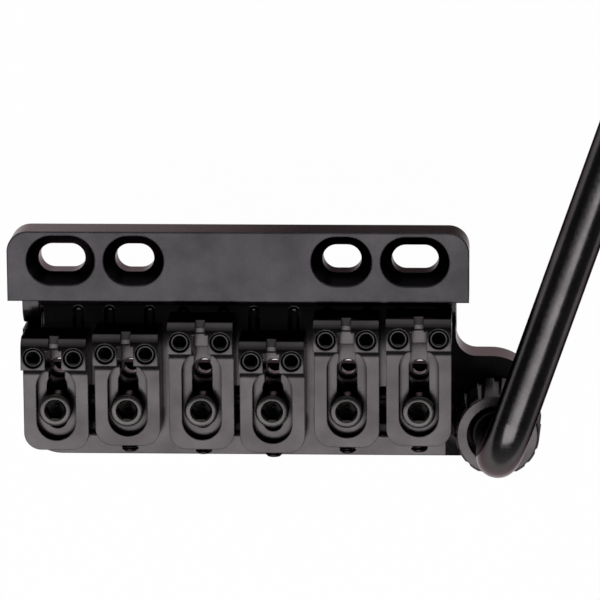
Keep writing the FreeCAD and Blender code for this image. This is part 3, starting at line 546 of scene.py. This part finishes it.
def height_grubs(string):
    """The two pointed screws that a saddle stands on."""
    node = f"height_screws_{string}"
    low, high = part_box(node)
    radius = 1.4 * MM
    relief = 0.06 * MM
    cone = 1.3 * MM
    runout = 0.5 * MM
    head = grub_head(high.z, radius - relief, across=1.5 * MM, mouth=1.02 * MM,
                     depth=2.2 * MM, bevel=0.14 * MM)
    shape = bmesh.new()
    for x in (low.x + radius, high.x - radius):
        screw(shape, upright(x, (low.y + high.y) / 2), head, low.z + cone, high.z - runout,
              radius, pitch=0.5 * MM, tip=low.z, tip_radius=0.5 * MM)
    screw_piece(f"height_grubs_{string}", node, shape)


def small_grub(shape, base, radius, length, bevel):
    """A small headless screw whose top is at its frame's origin."""
    relief = 0.05 * MM
    runout = 0.5 * MM
    point = 0.4 * MM
    head = grub_head(0, radius - relief, across=1.3 * MM, mouth=0.85 * MM, depth=1.4 * MM,
                     bevel=bevel)
    screw(shape, base, head, point - length, -runout, radius, pitch=0.45 * MM, tip=-length,
          tip_radius=0.7 * MM)


def intonation_grub(string):
    """The screw in a saddle's rear wall."""
    node = f"intonation_screw_{string}"
    low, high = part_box(node)
    middle = middle_of(node)
    base = lying((middle.x, low.y, middle.z), (0, -1, 0))
    shape = bmesh.new()
    small_grub(shape, base, (high.x - low.x) / 2, high.y - low.y, bevel=0.25 * MM)
    screw_piece(f"intonation_grub_{string}", node, shape)


def frame_grubs():
    """The screws that hold the frame in the bar's ends."""
    node = "frame_screws"
    low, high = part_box(node)
    middle = middle_of(node)
    shape = bmesh.new()
    for x, side in ((low.x, -1), (high.x, 1)):
        base = lying((x, middle.y, middle.z), (side, 0, 0))
        small_grub(shape, base, (high.y - low.y) / 2, length=3.7 * MM, bevel=0.15 * MM)
    screw_piece("frame_grubs", node, shape)


def clamp_caps():
    """The screws that hold the saddles down."""
    node = "clamp_screws"
    low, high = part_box(node)
    head_height = 3.0 * MM
    point = 0.4 * MM
    head = cap_head(high.z, radius=2.42 * MM, height=head_height, across=2.5 * MM,
                    mouth=1.62 * MM, depth=2.2 * MM, bevel=0.22 * MM)
    shape = bmesh.new()
    for string in STRINGS:
        base = upright(middle_of(f"saddle_{string}").x, (low.y + high.y) / 2)
        screw(shape, base, head, low.z + point, high.z - head_height, radius=1.25 * MM,
              pitch=0.45 * MM, tip=low.z, tip_radius=0.8 * MM)
    screw_piece("clamp_caps", node, shape)


BOLT_HEAD_RADIUS = 3.4 * MM


def bolt_places():
    """Where the three tension bolts stand, in X and Y."""
    low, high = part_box("tension_bolts")
    rows = (low.x + BOLT_HEAD_RADIUS, (low.x + high.x) / 2, high.x - BOLT_HEAD_RADIUS)
    return [(x, (low.y + high.y) / 2) for x in rows]


def tension_caps():
    """The bolts that hold the springs."""
    node = "tension_bolts"
    low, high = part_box(node)
    head_height = 4.0 * MM
    point = 0.6 * MM
    head = cap_head(high.z, BOLT_HEAD_RADIUS, head_height, across=3.0 * MM,
                    mouth=1.95 * MM, depth=2.0 * MM, bevel=0.3 * MM)
    shape = bmesh.new()
    for place in bolt_places():
        screw(shape, upright(*place), head, low.z + point, high.z - head_height,
              radius=2.0 * MM, pitch=0.7 * MM, tip=low.z, tip_radius=1.4 * MM)
    screw_piece("tension_caps", node, shape)


def hex_nuts(name, node, places, across, bore, turn=0.0):
    """Nuts whose corners are turned down to a cone at both ends."""
    low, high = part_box(node)
    face = across / 2 * NUT_FACE
    corner = hexagon(across)
    steps = ((low.z + NUT_LIP, bore), (low.z, bore + NUT_LIP), (low.z, face), (low.z, corner),
             (high.z, corner), (high.z, face), (high.z, bore + NUT_LIP), (high.z - NUT_LIP, bore))
    shape = bmesh.new()
    for place in places:
        base = upright(*place) @ Matrix.Rotation(turn, 4, "Z")
        loops = [loop(shape, base, *step) for step in steps]
        for (height, radius), row in zip(steps, loops):
            if radius is corner:
                inward = 1 if height == low.z else -1
                for k, point in enumerate(row):
                    point.co.z += inward * (corner(TURN * k / AROUND) - face) * NUT_TURN
        for here, there in zip(loops, loops[1:] + loops[:1]):
            bridge(shape, here, there)
    screw_piece(name, node, shape)


for string in STRINGS:
    height_grubs(string)
    intonation_grub(string)
frame_grubs()
clamp_caps()
tension_caps()
hex_nuts("tension_nuts", "spring_nuts", bolt_places(), across=7.0 * MM, bore=2.02 * MM)
holder = middle_of("socket_nut")
hex_nuts("holder_nut", "socket_nut", [(holder.x, holder.y)], across=10.5 * MM, bore=4.42 * MM,
         turn=SIXTH / 2)


# Springs under the frame's shelf

WIRE = 1.1 * MM
SPRING_RADIUS = 3.2 * MM
SPRING_TURNS = 5.0
TURN_STEPS = 32
WIRE_STEPS = 12


def spring_coil(shape, middle, low, high):
    """One tube along an even helix between two heights."""
    steps = int(SPRING_TURNS * TURN_STEPS)
    rings = []
    for step in range(steps + 1):
        share = step / steps
        angle = TURN * SPRING_TURNS * share
        out = Vector((math.cos(angle), math.sin(angle), 0))
        centre = middle + out * SPRING_RADIUS
        centre.z = low + WIRE / 2 + (high - low - WIRE) * share
        ring = []
        for k in range(WIRE_STEPS):
            turn = TURN * k / WIRE_STEPS
            offset = out * math.cos(turn) + Vector((0, 0, math.sin(turn)))
            ring.append(shape.verts.new(centre + offset * WIRE / 2))
        rings.append(ring)
    for here, there in zip(rings, rings[1:]):
        bridge(shape, here, there)
    shape.faces.new(rings[0])
    shape.faces.new(rings[-1])


def make_springs():
    """Three coiled springs in place of the plain solid."""
    low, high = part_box("tension_springs")
    reach = SPRING_RADIUS + WIRE / 2
    coils = bmesh.new()
    for x in (low.x + reach, (low.x + high.x) / 2, high.x - reach):
        spring_coil(coils, Vector((x, (low.y + high.y) / 2, 0)), low.z, high.z)
    springs = mesh_piece("spring_coils", "tension_springs", coils)
    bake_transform(springs)


make_springs()


# Floor, light and camera

FLOOR_HEIGHT = cad_box[0].z - 0.5 * MM
FLOOR_SIZE = 6.0
PAPER_CLOUD = 40 * MM
PAPER_DARK, PAPER_LIGHT = 0.86, 0.9
PLAIN_WHITE_SHARE = 0.985


def make_floor():
    """A sheet that camera and mirrors see as nearly plain white, with a trace of its shadows."""
    bpy.ops.mesh.primitive_plane_add(size=FLOOR_SIZE, location=(0, 0, FLOOR_HEIGHT))
    floor = bpy.context.object
    floor.name = "floor"
    material = new_material("white_sheet")
    paper = spread(material, noise(material, PAPER_CLOUD), 0.0, 1.0)
    tone = blend_colours(material, paper, shade(PAPER_DARK), shade(PAPER_LIGHT))
    sheet = add_node(material, "ShaderNodeBsdfDiffuse", Color=tone)
    glow = add_node(material, "ShaderNodeEmission", Color=shade(1.0), Strength=1.0)
    path = add_node(material, "ShaderNodeLightPath").outputs
    seen = math_node(material, "MAXIMUM", path["Is Camera Ray"], path["Is Glossy Ray"])
    seen = math_node(material, "MAXIMUM", seen, path["Is Transmission Ray"])
    mix = material.node_tree.nodes.new("ShaderNodeMixShader")
    connect(material, mix.inputs[0], math_node(material, "MULTIPLY", seen, PLAIN_WHITE_SHARE))
    connect(material, mix.inputs[1], sheet.outputs["BSDF"])
    connect(material, mix.inputs[2], glow.outputs["Emission"])
    add_node(material, "ShaderNodeOutputMaterial", Surface=mix.outputs["Shader"])
    floor.data.materials.append(material)


def softbox(name, place, aim, size, power):
    """A lamp with a flat face of the given sides, in metres, turned to a point."""
    lamp = bpy.data.lights.new(name, "AREA")
    lamp.shape = "RECTANGLE"
    lamp.size, lamp.size_y = size
    lamp.energy = power
    thing = bpy.data.objects.new(name, lamp)
    scene.collection.objects.link(thing)
    thing.location = place
    thing.rotation_euler = (Vector(aim) - Vector(place)).to_track_quat("-Z", "Y").to_euler()


HORIZON_LIGHT = 0.8
ZENITH_LIGHT = 0.04
REAR_SHARE = 0.6
LOW_SKY, HIGH_SKY = 0.1, 0.85


def make_world():
    """A dim room, dark overhead and at its sides, lighter low down in front and less so behind."""
    world = bpy.data.worlds.new("studio")
    scene.world = world
    world.use_nodes = True
    way = add_node(world, "ShaderNodeTexCoord").outputs["Generated"]
    parts = add_node(world, "ShaderNodeSeparateXYZ", Vector=way).outputs
    low_light = spread(world, parts["Z"], HORIZON_LIGHT, 0.0, LOW_SKY, HIGH_SKY)
    behind = math_node(world, "MULTIPLY", parts["Y"], -REAR_SHARE)
    ahead = math_node(world, "POWER", math_node(world, "MAXIMUM", parts["Y"], behind), 2.0)
    strength = math_node(world, "MULTIPLY_ADD", low_light, ahead, ZENITH_LIGHT)
    room = world.node_tree.nodes["Background"]
    connect(world, room.inputs["Color"], shade(1.0))
    connect(world, room.inputs["Strength"], strength)


make_floor()
softbox("top_panel", place=(-0.22, -0.53, 1.0), aim=(-0.22, -0.53, 0), size=(1.15, 0.83), power=9.3)
softbox("front_softbox", place=(0.1, 1.05, 0.75), aim=(0, 0, 0), size=(1.0, 1.2), power=1.1)
make_world()

FOCAL_PIXELS = 4200
IMAGE_PIXELS = 600
SENSOR_WIDTH = 36
CAMERA_TURN = (-12.336, 2.807, 0.283)
CAMERA_PLACE = (38.709, 123.687, 597.442)


def make_camera():
    """The photograph's view, with its turn in degrees and its place in millimetres."""
    data = bpy.data.cameras.new("camera")
    data.sensor_width = SENSOR_WIDTH
    data.lens = FOCAL_PIXELS / IMAGE_PIXELS * SENSOR_WIDTH
    camera = bpy.data.objects.new("camera", data)
    scene.collection.objects.link(camera)
    camera.rotation_mode = "ZYX"
    camera.rotation_euler = [math.radians(angle) for angle in CAMERA_TURN]
    camera.location = Vector(CAMERA_PLACE) * MM
    scene.camera = camera


make_camera()
scene.view_settings.view_transform = "Standard"
